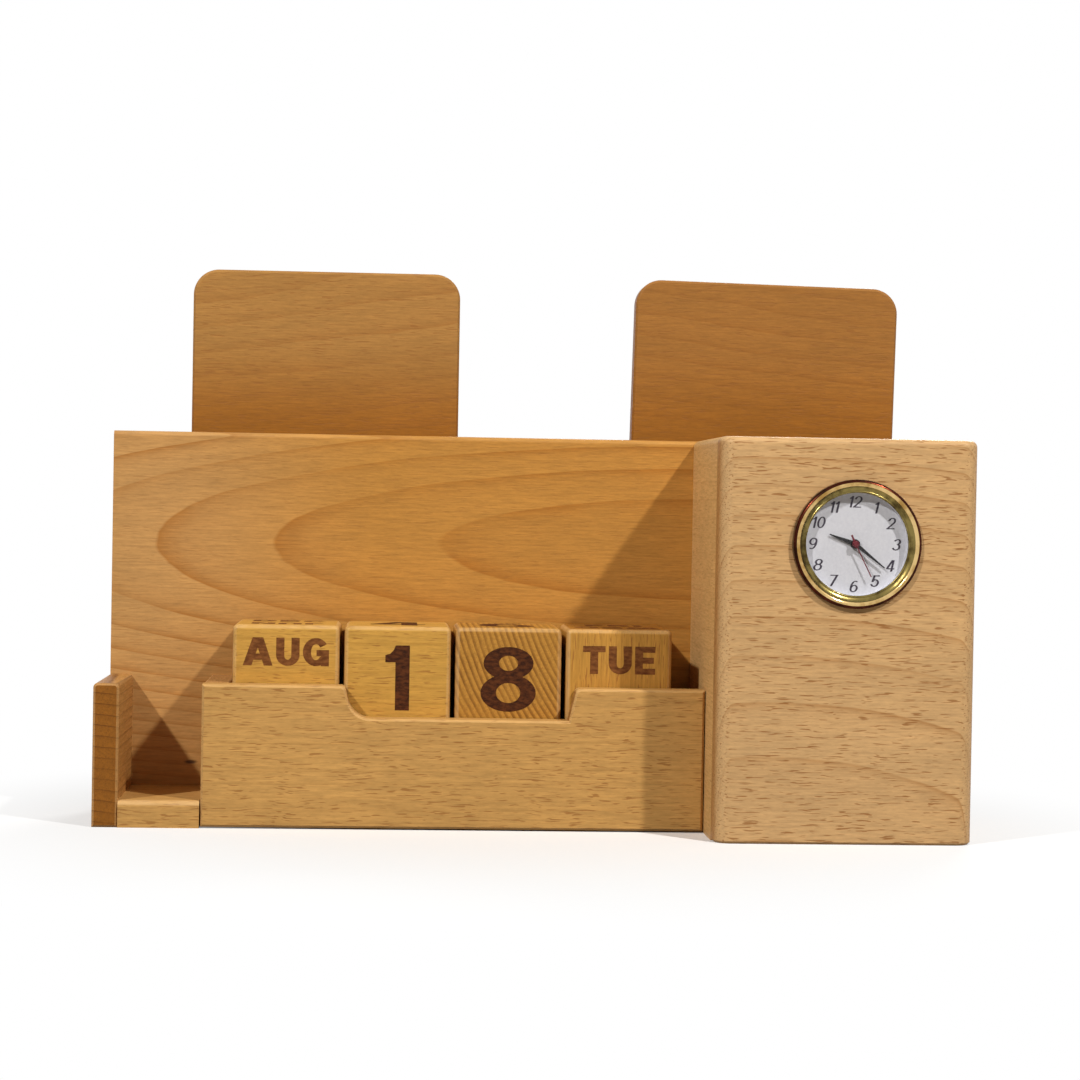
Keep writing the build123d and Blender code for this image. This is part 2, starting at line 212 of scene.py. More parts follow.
def make_floor():
    mesh = bpy.data.meshes.new("floor")
    form = bmesh.new()
    bmesh.ops.create_circle(form, cap_ends=True, segments=FLOOR_SIDES, radius=FLOOR_RADIUS)
    form.to_mesh(mesh)
    form.free()
    floor = bpy.data.objects.new("floor", mesh)
    bpy.context.scene.collection.objects.link(floor)
    material = bpy.data.materials.new("floor_paper")
    material.use_nodes = True
    graph = Graph(material.node_tree)
    nodes = material.node_tree.nodes
    nodes.remove(nodes["Principled BSDF"])
    away = graph.span(graph.length(object_place(graph)), FLOOR_LIT, FLOOR_WHITE)
    direct = seen_directly(graph)
    tone = graph.mix(direct, FLOOR_BOUNCE, FLOOR_PAPER)
    paper = graph.node("BsdfDiffuse", {"Color": tone}).outputs[0]
    white = graph.node("Emission", {"Strength": 1.0}).outputs[0]
    factor = graph.math("MULTIPLY", away, direct)
    both = graph.node("MixShader", {0: factor, 1: paper, 2: white}).outputs[0]
    graph.feed(nodes["Material Output"].inputs["Surface"], both)
    mesh.materials.append(material)


# ---------------------------------------------------------------- plain materials
NOISE_SPAN = (0.3, 0.7)  # the levels of a noise that a span starts and ends at
COLOUR_PATCHES = 0.12  # to the grain


def material_of(name, colour, roughness, metallic=0.0, **sockets):
    """A principled material with its own graph. A socket's name has _ for each space."""
    material = bpy.data.materials.new(name)
    material.use_nodes = True
    graph = Graph(material.node_tree)
    shader = material.node_tree.nodes["Principled BSDF"]
    graph.feed(shader.inputs["Base Color"], colour)
    graph.feed(shader.inputs["Roughness"], roughness)
    graph.feed(shader.inputs["Metallic"], metallic)
    for key, value in sockets.items():
        graph.feed(shader.inputs[key.replace("_", " ")], value)
    return material, graph, shader


def stippled(name, colour, other, roughness, grain, depth, metallic=0.0):
    """A moulded, cast or printed surface: broad patches of two close colours, and a fine grain as bump."""
    material, graph, shader = material_of(name, colour, roughness, metallic)
    place = object_place(graph)
    fine = graph.noise(place, 1 / grain, detail=3.0, roughness=0.6)
    broad = graph.noise(place, COLOUR_PATCHES / grain)
    graph.feed(shader.inputs["Base Color"], graph.mix(graph.span(broad, *NOISE_SPAN), colour, other))
    uneven = graph.span(fine, *NOISE_SPAN, 0.85 * roughness, 1.15 * roughness)
    graph.feed(shader.inputs["Roughness"], uneven)
    graph.feed(shader.inputs["Normal"], graph.bump(fine, strength=0.5, distance=depth))
    return material


# ---------------------------------------------------------------- beech
PALE = srgb(218, 175, 121)
PALE_LINE = srgb(176, 124, 70)
PORE = srgb(138, 88, 42)
# Paler colour of rounded edges: partly worn wood, partly a painted highlight.
WEAR_AND_HIGHLIGHT = srgb(232, 194, 142)
# Colour of a small dark spot on the back panel.
DARK_SPOT = srgb(52, 26, 12)
NO_TINT = (1.0, 1.0, 1.0, 1.0)
END_TINT = (0.70, 0.58, 0.44, 1.0)

# How dark a growth ring is from its inner side to its outer side:
# (place in the ring, share of the line's colour)
THIN_RINGS = ((0.0, 0.0), (0.5, 0.05), (0.80, 0.16), (0.91, 0.45), (0.97, 1.0), (1.0, 0.0))
SOFT_RINGS = ((0.0, 0.05), (0.45, 0.12), (0.75, 0.35), (0.92, 0.8), (0.97, 1.0), (1.0, 0.05))
BROAD_RINGS = ((0.0, 0.1), (0.35, 0.15), (0.60, 0.75), (0.85, 1.0), (1.0, 0.1))

# Noises of the grain: how many waves to the metre, along the grain and across it
RING_WAVES = (18.0, 55.0)
PATCHES = (22.0, 70.0)
DRIFT = (90.0, 130.0)
FIBRES = (110.0, 1500.0)
FLECKS = (480.0, 1500.0)
DASH_LENGTH = 5.4 * MM
DASH_WIDTH = 0.40 * MM
DASHES = (1 / DASH_LENGTH, 1 / DASH_WIDTH)
DASH_SWAY = 0.8 * MM  # how far the drift takes the dashes to either side
DASH_EDGE = (0.60, 0.69)  # levels of the noise at a dash's edge and in its middle
BANDS = 1.7  # waves to the growth ring

# How those noises darken the wood: (level of the noise, share of the light that it leaves)
BAND_SHADE = ((0.3, 0.93), (0.7, 1.0))
PATCH_SHADE = ((0.25, 0.85), (0.75, 1.02))
FIBRE_SHADE = ((0.3, 0.78), (0.7, 1.04))
FLECK_SHADE = ((0.3, 0.92), (0.6, 1.0))
FAINT_FIGURE = 0.35  # share of the rings' strength that the faintest patches keep

END_FACING = (0.75, 0.97)  # how squarely a face looks along the grain, from side grain to end grain
EDGE_FACING = (0.90, 0.995)  # how squarely it looks along any axis, from a rounded edge to a flat face
EDGE_PATCHES = 260.0  # patches of the paler edges, partly wear and partly a painted highlight, to the metre
EDGE_PATCH_SPAN = (0.25, 0.6)  # levels of that noise where half of the paler edge shows, and all of it
SPOT_SQUEEZE = (0.3, 0.0, 1.0)  # draws the spot out along X and takes it through the board along Y
SPOT_RADIUS = (0.25 * MM, 0.8 * MM)  # of its core and of its rim
SPOT_STRENGTH = 0.85


@dataclass
class Beech:
    """How one board was cut and finished."""

    grain: int  # the axis that its fibres follow
    heart: tuple  # a point on the log's heart
    ring: float = 3.2 * MM  # thickness of a growth ring
    stretch: float = 9.0  # how many times longer than wide the rings are
    warp: float = 0.5 * MM  # how far the rings wander
    light: tuple = PALE  # between the rings
    line: tuple = PALE_LINE  # on the rings
    figure: float = 0.5  # strength of the rings
    pores: float = 0.6  # strength of the pores
    end: tuple = END_TINT  # what end grain multiplies the colour by
    worn: float = 0.3  # how pale the edges are: partly wear, partly a painted highlight
    fade: tuple = None  # (axis, from, to, colour): the light colour turns to this one along the axis
    knot: tuple = None  # the middle of a small dark spot
    profile: tuple = THIN_RINGS  # how a ring darkens

    def along(self, lengthwise, across):
        """A scale that is lengthwise along the grain and across over it."""
        return tuple(lengthwise if axis == self.grain else across for axis in (X, Y, Z))


def grain_noise(graph, place, board, to_the_metre, detail, roughness=0.5):
    """A noise that is drawn out along the board's grain."""
    return graph.noise(graph.vector("MULTIPLY", place, board.along(*to_the_metre)), 1.0, detail, roughness)


def ring_count(graph, place, board):
    """How many growth rings lie between the log's heart and a place."""
    from_heart = graph.vector("SUBTRACT", place, board.heart)
    radius = graph.length(graph.vector("MULTIPLY", from_heart, board.along(1 / board.stretch, 1.0)))
    wavy = grain_noise(graph, place, board, RING_WAVES, detail=4.0, roughness=0.55)
    offset = graph.math("MULTIPLY_ADD", wavy, 2 * board.warp, -board.warp)
    return graph.math("DIVIDE", graph.math("ADD", radius, offset), board.ring)


def pore_dashes(graph, place, board):
    """Short dark dashes along the grain, which are dots on end grain."""
    drift = grain_noise(graph, place, board, DRIFT, detail=1.0)
    sway = graph.math("MULTIPLY_ADD", drift, 2 * DASH_SWAY, -DASH_SWAY)
    swayed = graph.vector("ADD", place, graph.joined(sway, sway, sway))
    dashes = grain_noise(graph, swayed, board, DASHES, detail=1.0, roughness=0.4)
    return graph.span(dashes, *DASH_EDGE)


def open_wood(graph, place, board):
    """The colour between the rings."""
    if not board.fade:
        return board.light
    axis, start, end, colour = board.fade
    return graph.mix(graph.span(graph.parts(place)[axis], start, end), board.light, colour)


def ends_and_edges(graph, place, board, colour):
    """The colour, darker on end grain and paler on the edges that the sanding block rounded: partly worn
    wood, partly a painted highlight.
    """
    faces = graph.parts(graph.vector("ABSOLUTE", graph.node("TexCoord").outputs["Normal"]))
    end_grain = graph.span(faces[board.grain], *END_FACING)
    colour = graph.mix(1.0, colour, graph.mix(end_grain, NO_TINT, board.end), "MULTIPLY")
    widest = graph.math("MAXIMUM", graph.math("MAXIMUM", faces[X], faces[Y]), faces[Z])
    # Rounded edges turn paler: partly wear, partly a painted highlight.
    edge = graph.span(widest, *EDGE_FACING, board.worn, 0.0)
    patchy = graph.math("MULTIPLY", edge, graph.span(graph.noise(place, EDGE_PATCHES), *EDGE_PATCH_SPAN, 0.5, 1.0))
    return graph.mix(patchy, colour, WEAR_AND_HIGHLIGHT)


def with_knot(graph, place, board, colour):
    """The colour, with a small dark spot in it."""
    offset = graph.vector("MULTIPLY", graph.vector("SUBTRACT", place, board.knot), SPOT_SQUEEZE)
    strength = graph.span(graph.length(offset), *SPOT_RADIUS, SPOT_STRENGTH, 0.0)
    return graph.mix(strength, colour, DARK_SPOT)


def make_beech(name, board):
    """Lacquered beech with growth rings, fibres, pores, darker end grain and paler sanded edges, which are
    partly wear and partly a painted highlight.
    """
    material, graph, shader = material_of(name, board.light, 0.45, Specular_IOR_Level=0.16)
    place = object_place(graph)
    count = ring_count(graph, place, board)
    rings = graph.ramp(graph.math("FRACT", count), *board.profile)
    bands = graph.noise(graph.joined(count), BANDS, detail=3.0, roughness=0.6)
    patches = grain_noise(graph, place, board, PATCHES, detail=3.0, roughness=0.55)
    fibres = grain_noise(graph, place, board, FIBRES, detail=3.0, roughness=0.65)
    flecks = grain_noise(graph, place, board, FLECKS, detail=2.0, roughness=0.6)
    pores = pore_dashes(graph, place, board)

    light = open_wood(graph, place, board)
    strength = graph.span(patches, *NOISE_SPAN, FAINT_FIGURE * board.figure, board.figure)
    colour = graph.mix(graph.math("MULTIPLY", rings, strength), light, board.line)
    shades = ((bands, BAND_SHADE), (patches, PATCH_SHADE), (fibres, FIBRE_SHADE), (flecks, FLECK_SHADE))
    for noise, shade in shades:
        colour = graph.mix(1.0, colour, graph.ramp(noise, *shade), "MULTIPLY")
    colour = graph.mix(graph.math("MULTIPLY", pores, board.pores), colour, PORE)
    colour = ends_and_edges(graph, place, board, colour)
    if board.knot:
        colour = with_knot(graph, place, board, colour)
    graph.feed(shader.inputs["Base Color"], colour)
    graph.feed(shader.inputs["Roughness"], graph.span(fibres, *NOISE_SPAN, 0.50, 0.40))
    relief = graph.math("SUBTRACT", graph.math("MULTIPLY", fibres, 0.25), graph.math("MULTIPLY", pores, 0.6))
    graph.feed(shader.inputs["Normal"], graph.bump(relief, strength=0.6, distance=0.05 * MM))
    return material


RICH = srgb(202, 144, 68)
RICH_LINE = srgb(166, 102, 34)
SAPWOOD = srgb(205, 155, 94)
REST = srgb(182, 132, 70)
REST_LINE = srgb(154, 98, 44)
BROWN_REST = srgb(172, 117, 56)
BROWN_REST_LINE = srgb(140, 84, 32)
REST_FOOT = srgb(168, 107, 38)
FENCE = srgb(209, 160, 92)
FENCE_LINE = srgb(170, 118, 56)
INNER = srgb(194, 142, 84)
INNER_LINE = srgb(166, 112, 58)
# Lighter than the front's beech: painted light on the clock box's left side.
LIT_SIDE = srgb(226, 180, 116)
# The end wall's darker wood: partly its own colour, partly painted shade on its inner face.
END_WALL_WOOD_AND_SHADE = srgb(192, 138, 74)
END_WALL_LINE = srgb(104, 60, 24)
END_WALL_END_TINT = (0.58, 0.44, 0.20, 1.0)

PANEL_FADE = (X, -40 * MM, -120 * MM, SAPWOOD)
# The rests turn darker and browner towards the bottom.
REST_FADE = (Z, 150 * MM, 118 * MM, REST_FOOT)
# Middle of the small dark spot on the back panel.
PANEL_DARK_SPOT = (-101.5 * MM, 19.2 * MM, 15.2 * MM)

BOARDS = {
    "box_front": Beech(X, (68 * MM, -304.8 * MM, -30 * MM), ring=3.743 * MM, stretch=1.65, warp=0.4 * MM,
                       figure=0.85, pores=0.75, worn=0.12),
    "drawer_front": Beech(X, (-150 * MM, 40 * MM, 90 * MM), ring=3.0 * MM, stretch=12.0, light=FENCE,
                          line=FENCE_LINE, figure=0.25, pores=0.65, worn=0.15),
    "base_board": Beech(X, (-40 * MM, 10 * MM, -60 * MM), stretch=12.0, light=FENCE, line=FENCE_LINE,
                        figure=0.3),
    "box_left_side": Beech(Y, (90 * MM, 0.0, -10 * MM), ring=5.0 * MM, light=LIT_SIDE, figure=0.4, pores=0.35,
                           worn=0.12),
    "box_right_side": Beech(Y, (160 * MM, 0.0, 30 * MM), ring=4.5 * MM, pores=0.45),
    "end_wall": Beech(Y, (-150 * MM, 0.0, -220 * MM), ring=3.1 * MM, light=END_WALL_WOOD_AND_SHADE, line=END_WALL_LINE, figure=0.9,
                      end=END_WALL_END_TINT, worn=0.12),
    "back_panel": Beech(X, (58.5 * MM, 89.2 * MM, 82.8 * MM), ring=2.564 * MM, stretch=5.4, warp=0.25 * MM,
                        light=RICH, line=RICH_LINE, figure=0.75, pores=0.2, worn=0.06, fade=PANEL_FADE,
                        knot=PANEL_DARK_SPOT, profile=SOFT_RINGS),
    "slot_floor": Beech(X, (0.0, 60 * MM, -30 * MM), light=RICH, line=RICH_LINE),
    "left_rest": Beech(X, (-250 * MM, 120 * MM, 210 * MM), ring=5.0 * MM, stretch=4.5, warp=2.5 * MM,
                       light=REST, line=REST_LINE, pores=0.5, worn=0.0, fade=REST_FADE, profile=SOFT_RINGS),
    "right_rest": Beech(X, (330 * MM, 110 * MM, 260 * MM), ring=5.0 * MM, stretch=4.5, warp=2.5 * MM,
                        light=BROWN_REST, line=BROWN_REST_LINE, figure=0.4, pores=0.5, worn=0.0,
                        fade=REST_FADE, profile=SOFT_RINGS),
    "tray_side": Beech(Y, (-20 * MM, 0.0, -10 * MM), ring=3.5 * MM, light=INNER, line=INNER_LINE),
    "cube_shelf": Beech(X, (-20 * MM, 20 * MM, -60 * MM), ring=3.5 * MM),
    "box_floor": Beech(X, (90 * MM, 20 * MM, -60 * MM), ring=3.5 * MM),
    "drawer_bottom": Beech(X, (0.0, 10 * MM, 90 * MM), ring=3.5 * MM),
    "drawer_left_side": Beech(Y, (-30 * MM, 0.0, -40 * MM), ring=3.5 * MM),
    "drawer_right_side": Beech(Y, (90 * MM, 0.0, -50 * MM), ring=3.5 * MM),
    "drawer_back": Beech(X, (-10 * MM, 60 * MM, -50 * MM), ring=3.5 * MM),
}
EDGE_WIDTH = 0.45 * MM
EDGE_SEGMENTS = 2
SHARP = radians(32)  # edges that turn more than this are sanded
WELD_REACH = 0.002 * MM  # joins corners that a CAD mesh has twice
FLAT_WEIGHT = 90  # past 50, larger faces count for more


def flatten_faces(piece):
    """Keeps the shading of large faces flat up to their rounded edges."""
    normals = piece.modifiers.new("flat_faces", "WEIGHTED_NORMAL")
    normals.weight = FLAT_WEIGHT
    normals.keep_sharp = False


def soften(node):
    """Breaks the sharp edges of a CAD board, as a sanding block does."""
    weld = node.modifiers.new("weld", "WELD")
    weld.merge_threshold = WELD_REACH
    bevel = node.modifiers.new("sanded_edges", "BEVEL")
    bevel.width = EDGE_WIDTH
    bevel.segments = EDGE_SEGMENTS
    bevel.limit_method = "ANGLE"
    bevel.angle_limit = SHARP
    bevel.use_clamp_overlap = True
    flatten_faces(node)


def paint(node_name, material):
    """Gives a CAD node one material."""
    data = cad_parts[node_name].data
    data.materials.clear()
    data.materials.append(material)


def dress_boards():
    for node_name, board in BOARDS.items():
        soften(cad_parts[node_name])
        paint(node_name, make_beech("beech_" + node_name, board))


# ---------------------------------------------------------------- characters drawn with a broad pen
STROKE_STEP = 0.004 * MM  # keeps strokes that cross out of one plane
QUARTER_SIDES = 10  # sides of a quarter turn
SLANT_WIDTH = 1.08  # of a slanting stroke, measured level, in widths of an upright one


class Pen:
    """Draws strokes in a cell one unit high. A stroke is a list of closed outlines."""

    def __init__(self, upright, level):
        self.upright = upright  # width of an upright stroke
        self.level = level  # height of a level stroke
        self.slanting = SLANT_WIDTH * upright

    def stem(self, x, low, high):
        return [[(x, low), (x + self.upright, low), (x + self.upright, high), (x, high)]]

    def bar(self, left, right, low):
        return [[(left, low), (right, low), (right, low + self.level), (left, low + self.level)]]

    def slant(self, foot_x, foot, head_x, head):
        wide = self.slanting
        return [[(foot_x, foot), (foot_x + wide, foot), (head_x + wide, head), (head_x, head)]]

    def bow(self, x, y, half_width, half_height, start=0, end=360):
        """A stretch of an oval ring, from start to end degrees, counter-clockwise from the right."""
        steps = max(2, int(QUARTER_SIDES * abs(end - start) / 90))
        turns = [radians(start + (end - start) * step / steps) for step in range(steps + 1)]
        outer = [(x + half_width * cos(turn), y + half_height * sin(turn)) for turn in turns]
        wide, tall = half_width - self.upright, half_height - self.level
        inner = [(x + wide * cos(turn), y + tall * sin(turn)) for turn in turns]
        return [[outer[step], outer[step + 1], inner[step + 1], inner[step]] for step in range(steps)]


def alphabet(pen):
    """The strokes of each character, in fractions of the cell."""
    wide, slant_wide, tall = pen.upright, pen.slanting, pen.level
    middle = 0.5 - tall / 2
    top = 1 - tall
    flag = [[(0, .74), (.17, .74), (.17, 1), (.14, .93), (.08, .87), (0, .85)]]
    return {
        "0": [pen.bow(.39, .5, .39, .5)],
        "1": [pen.stem(.17, 0, 1), flag],
        "2": [pen.bow(.38, .7, .38, .3, -38, 178), pen.bar(0, .78, 0),
              pen.slant(0, tall * .6, .78 - 1.35 * wide, .56)],
        "3": [pen.bow(.36, .74, .36, .26, -90, 165), pen.bow(.36, .29, .4, .29, -165, 90)],
        "4": [pen.stem(.45, 0, 1), pen.bar(0, .8, .2), pen.slant(0, .3, .36, 1)],
        "5": [pen.bar(.1, .72, top), pen.slant(.02, .42, .1, 1), pen.bow(.36, .33, .41, .33, -160, 140)],
        "6": [pen.bow(.39, .32, .39, .32), pen.bow(.42, .5, .42, .5, 60, 200)],
        "7": [pen.bar(0, .76, top), pen.slant(.16, 0, .76 - slant_wide, 1)],
        "8": [pen.bow(.42, .748, .38, .252), pen.bow(.42, .29, .42, .29)],
        "9": [pen.bow(.39, .68, .39, .32), pen.bow(.36, .5, .42, .5, -120, 20)],
        "A": [pen.slant(0, 0, .34, 1), pen.slant(.74, 0, .40, 1), pen.bar(.2, .8, .2)],
        "B": [pen.stem(0, 0, 1), pen.bar(0, .4, 0), pen.bar(0, .4, middle), pen.bar(0, .4, top),
              pen.bow(.4, .27, .38, .27 + tall / 4, -90, 90), pen.bow(.38, .75, .36, .25, -90, 90)],
        "C": [pen.bow(.44, .5, .44, .5, 38, 322)],
        "D": [pen.stem(0, 0, 1), pen.bar(0, .35, 0), pen.bar(0, .35, top),
              pen.bow(.35, .5, .5, .5, -90, 90)],
        "E": [pen.stem(0, 0, 1), pen.bar(0, .72, 0), pen.bar(0, .67, middle), pen.bar(0, .72, top)],
        "F": [pen.stem(0, 0, 1), pen.bar(0, .62, middle - .03), pen.bar(0, .7, top)],
        "G": [pen.bow(.46, .5, .46, .5, 35, 325), pen.bar(.48, .92, .36), pen.stem(.92 - wide, 0, .42)],
        "H": [pen.stem(0, 0, 1), pen.stem(.82 - wide, 0, 1), pen.bar(0, .8, middle)],
        "I": [pen.stem(0, 0, 1)],
        "J": [pen.stem(.64 - wide, .3, 1), pen.bow(.32, .3, .32, .3, 180, 360)],
        "L": [pen.stem(0, 0, 1), pen.bar(0, .66, 0)],
        "M": [pen.stem(0, 0, 1), pen.stem(1 - wide, 0, 1), pen.slant(.5 - wide / 2, 0, 0, 1),
              pen.slant(.5 - wide / 2, 0, 1 - wide, 1)],
        "N": [pen.stem(0, 0, 1), pen.stem(.84 - wide, 0, 1), pen.slant(.84 - slant_wide, 0, 0, 1)],
        "O": [pen.bow(.48, .5, .48, .5)],
        "P": [pen.stem(0, 0, 1), pen.bar(0, .42, .36), pen.bar(0, .42, top),
              pen.bow(.42, .68, .36, .32, -90, 90)],
        "R": [pen.stem(0, 0, 1), pen.bar(0, .42, .38), pen.bar(0, .42, top),
              pen.bow(.42, .69, .36, .31, -90, 90), pen.slant(.82 - slant_wide, 0, .3, .45)],
        "S": [pen.bow(.4, .74, .38, .26, 25, 270), pen.bow(.4, .29, .41, .29, -155, 90)],
        "T": [pen.stem(.4 - wide / 2, 0, 1), pen.bar(0, .8, top)],
        "U": [pen.stem(0, .38, 1), pen.stem(.82 - wide, .38, 1), pen.bow(.41, .38, .41, .38, 180, 360)],
        "V": [pen.slant(.34, 0, 0, 1), pen.slant(.34, 0, .72, 1)],
        "W": [pen.slant(.2, 0, 0, 1), pen.slant(.2, 0, .46, 1), pen.slant(.72, 0, .46, 1),
              pen.slant(.72, 0, .94, 1)],
        "Y": [pen.stem(.42 - wide / 2, 0, .45), pen.slant(.42 - wide / 2, .4, 0, 1),
              pen.slant(.42 - wide / 2, .4, .8 - wide, 1)],
    }


def outlines_of(text, letters, gap):
    """A word's outlines, each with its stroke's number, from 0 on the left, and the word's width."""
    outlines, start = [], 0.0
    for character in text:
        drawn = [(number, outline) for number, stroke in enumerate(letters[character]) for outline in stroke]
        left = min(x for _, outline in drawn for x, _ in outline)
        outlines += [(number, [(x - left + start, y) for x, y in outline]) for number, outline in drawn]
        start = max(x for _, outline in outlines for x, _ in outline) + gap
    return outlines, start - gap


def mark_faces(form, outlines, drawn, place, across, up, width, height, lean=0.0):
    """Adds a word to a mesh, centred on place, stretched from drawn units wide and one high to its size."""
    outward = across.cross(up)
    for number, outline in outlines:
        lift = outward * (number * STROKE_STEP)
        corners = []
        for x, y in outline:
            side = (x / drawn - 0.5) * width + lean * (y - 0.5) * height
            corners.append(form.verts.new(place + across * side + up * ((y - 0.5) * height) + lift))
        form.faces.new(corners)


def finish_mesh(name, form, material, body, smooth=True):
    """Turns a bmesh into a piece that rides on a body."""
    mesh = bpy.data.meshes.new(name)
    # Joins the corners that neighbouring faces share, but not strokes that cross.
    bmesh.ops.remove_doubles(form, verts=form.verts, dist=STROKE_STEP / 4)
    if smooth:
        bmesh.ops.recalc_face_normals(form, faces=form.faces)
    form.to_mesh(mesh)
    form.free()
    mesh.materials.append(material)
    for polygon in mesh.polygons:
        polygon.use_smooth = smooth
    piece = bpy.data.objects.new(name, mesh)
    bpy.context.scene.collection.objects.link(piece)
    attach(piece, body)
    return piece


# ---------------------------------------------------------------- calendar cubes
CUBE_RADIUS = 1.7 * MM
CUBE_SEGMENTS = 4
BURN_LIFT = 0.03 * MM  # how far the burnt marks are off the wood
BOLD = alphabet(Pen(upright=0.285, level=0.215))
WIDE = alphabet(Pen(upright=0.235, level=0.135))
LETTER_GAP = 0.12  # between two letters, in drawn units
DIGIT_HEIGHT = 19.2 * MM
DIGIT_WIDTH = 16.4 * MM
ONE_WIDTH = 7.2 * MM
DIGIT_RISE = 0.5 * MM  # from the middle of the cube to the middle of a digit
WORD_HEIGHT = 8.3 * MM
WORD_SPREAD = 8.35 * MM  # width of a word for each unit drawn
CUBE_WOOD = srgb(210, 159, 74)
CUBE_LINE = srgb(186, 132, 52)
DARK_WOOD = srgb(202, 148, 66)
DARK_LINE = srgb(148, 98, 40)
STRIPED_WOOD = srgb(200, 144, 62)
STRIPED_LINE = srgb(100, 54, 14)
CHAR_GRAIN = (500.0, 500.0, 1100.0)  # to the metre, along X, Y and Z

FACES = (  # outward, across and up, for the front, right, back, left, top and underside
    ((0, -1, 0), (1, 0, 0), (0, 0, 1)),
    ((1, 0, 0), (0, 1, 0), (0, 0, 1)),
    ((0, 1, 0), (-1, 0, 0), (0, 0, 1)),
    ((-1, 0, 0), (0, -1, 0), (0, 0, 1)),
    ((0, 0, 1), (1, 0, 0), (0, 1, 0)),
    ((0, 0, -1), (1, 0, 0), (0, -1, 0)),
)
MONTHS = ("AUG FEB", "SEP MAR", "OCT APR", "NOV MAY", "DEC JUN", "JAN JUL")
WEEKDAYS = ("TUE FRI", "WED SAT", "THU SUN", "MON TUE", "FRI WED", "SAT MON")
CUBES = {  # node: body, what its faces show, how far off the middle the words are, and its wood
    "month_cube": ("month_block", MONTHS, 7.8 * MM,
                   Beech(X, (-60 * MM, 30 * MM, -30 * MM), ring=3.0 * MM, light=CUBE_WOOD, line=CUBE_LINE)),
    "tens_cube": ("tens_block", "102345", 0.0,
                  Beech(X, (-30 * MM, 40 * MM, -20 * MM), ring=3.4 * MM, light=CUBE_WOOD, line=CUBE_LINE)),
    "units_cube": ("units_block", "817260", 0.0,
                   Beech(Y, (94 * MM, 0.0, 93 * MM), ring=1.7 * MM, warp=0.7 * MM, light=STRIPED_WOOD,
                         line=STRIPED_LINE, figure=0.8, pores=0.3, end=NO_TINT, profile=BROAD_RINGS)),
    "weekday_cube": ("weekday_block", WEEKDAYS, 6.6 * MM,
                     Beech(Z, (110 * MM, -40 * MM, 40 * MM), ring=1.4 * MM, light=DARK_WOOD, line=DARK_LINE,
                           figure=0.7, pores=0.7)),
}


def make_burnt(name, dark, pale):
    """Wood burnt brown, which still shows a little of its grain."""
    material, graph, shader = material_of(name, dark, 0.6, Specular_IOR_Level=0.1)
    drawn_out = graph.vector("MULTIPLY", object_place(graph), CHAR_GRAIN)
    char = graph.noise(drawn_out, 1.0, detail=3.0, roughness=0.6)
    graph.feed(shader.inputs["Base Color"], graph.mix(graph.span(char, *NOISE_SPAN), dark, pale))
    graph.feed(shader.inputs["Normal"], graph.bump(char, strength=0.4, distance=0.03 * MM))
    return material


def make_block(node_name, centre, size, body, wood):
    """A cube with rounder edges, in the place of the CAD's."""
    form = bmesh.new()
    bmesh.ops.create_cube(form, size=size, matrix=Matrix.Translation(centre))
    bmesh.ops.bevel(form, geom=form.edges[:], offset=CUBE_RADIUS, segments=CUBE_SEGMENTS, profile=0.5,
                    affect="EDGES")
    beech = make_beech("beech_" + node_name, wood)
    block = finish_mesh(node_name + "_block", form, beech, body)
    flatten_faces(block)
    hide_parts(node_name)


def mark_cube_face(form, shown, rise, face, across, up):
    """A digit, or two words above each other of which the lower one stands on its head."""
    if len(shown) == 1:
        outlines, drawn = outlines_of(shown, WIDE, LETTER_GAP)
        width = ONE_WIDTH if shown == "1" else DIGIT_WIDTH
        mark_faces(form, outlines, drawn, face + up * DIGIT_RISE, across, up, width, DIGIT_HEIGHT)
        return
    for word, sign in zip(shown.split(), (1, -1)):
        outlines, drawn = outlines_of(word, BOLD, LETTER_GAP)
        mark_faces(form, outlines, drawn, face + up * (sign * rise), across * sign, up * sign,
                   drawn * WORD_SPREAD, WORD_HEIGHT)


def make_cube(node_name, body, marks, rise, wood, burnt):
    low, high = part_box(node_name)
    centre, half = (low + high) / 2, (high.x - low.x) / 2
    make_block(node_name, centre, 2 * half, body, wood)
    form = bmesh.new()
    for (outward, across, up), shown in zip(FACES, marks):
        face = centre + Vector(outward) * (half + BURN_LIFT)
        mark_cube_face(form, shown, rise, face, Vector(across), Vector(up))
    finish_mesh(node_name + "_burning", form, burnt, body, smooth=False)


def make_cubes():
    words = make_burnt("burnt_words", srgb(92, 52, 24), srgb(128, 80, 42))
    digits = make_burnt("burnt_digits", srgb(46, 22, 11), srgb(88, 48, 24))
    for node_name, (body, marks, rise, wood) in CUBES.items():
        make_cube(node_name, body, marks, rise, wood, words if rise else digits)


# ---------------------------------------------------------------- push-in clock
CLOCK_AXIS = (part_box("dial")[0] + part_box("dial")[1]) / 2
BEZEL_LOW, BEZEL_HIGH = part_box("bezel")
BEZEL_RADIUS = (BEZEL_HIGH.x - BEZEL_LOW.x) / 2
BEZEL_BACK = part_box("box_front")[0].y  # the face of the box, which the bezel's skirt sits on
BEZEL_PROUD = BEZEL_BACK - BEZEL_LOW.y
BEZEL_SIDES = 128
SIGHT_RADIUS = 14.7 * MM  # of the open glass
SEAT_WIDTH = 2 * MM  # from the sight to the inner edge of the bezel's foot
GLASS_FACE = BEZEL_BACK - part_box("lens")[0].y  # how far the glass is in front of the box face

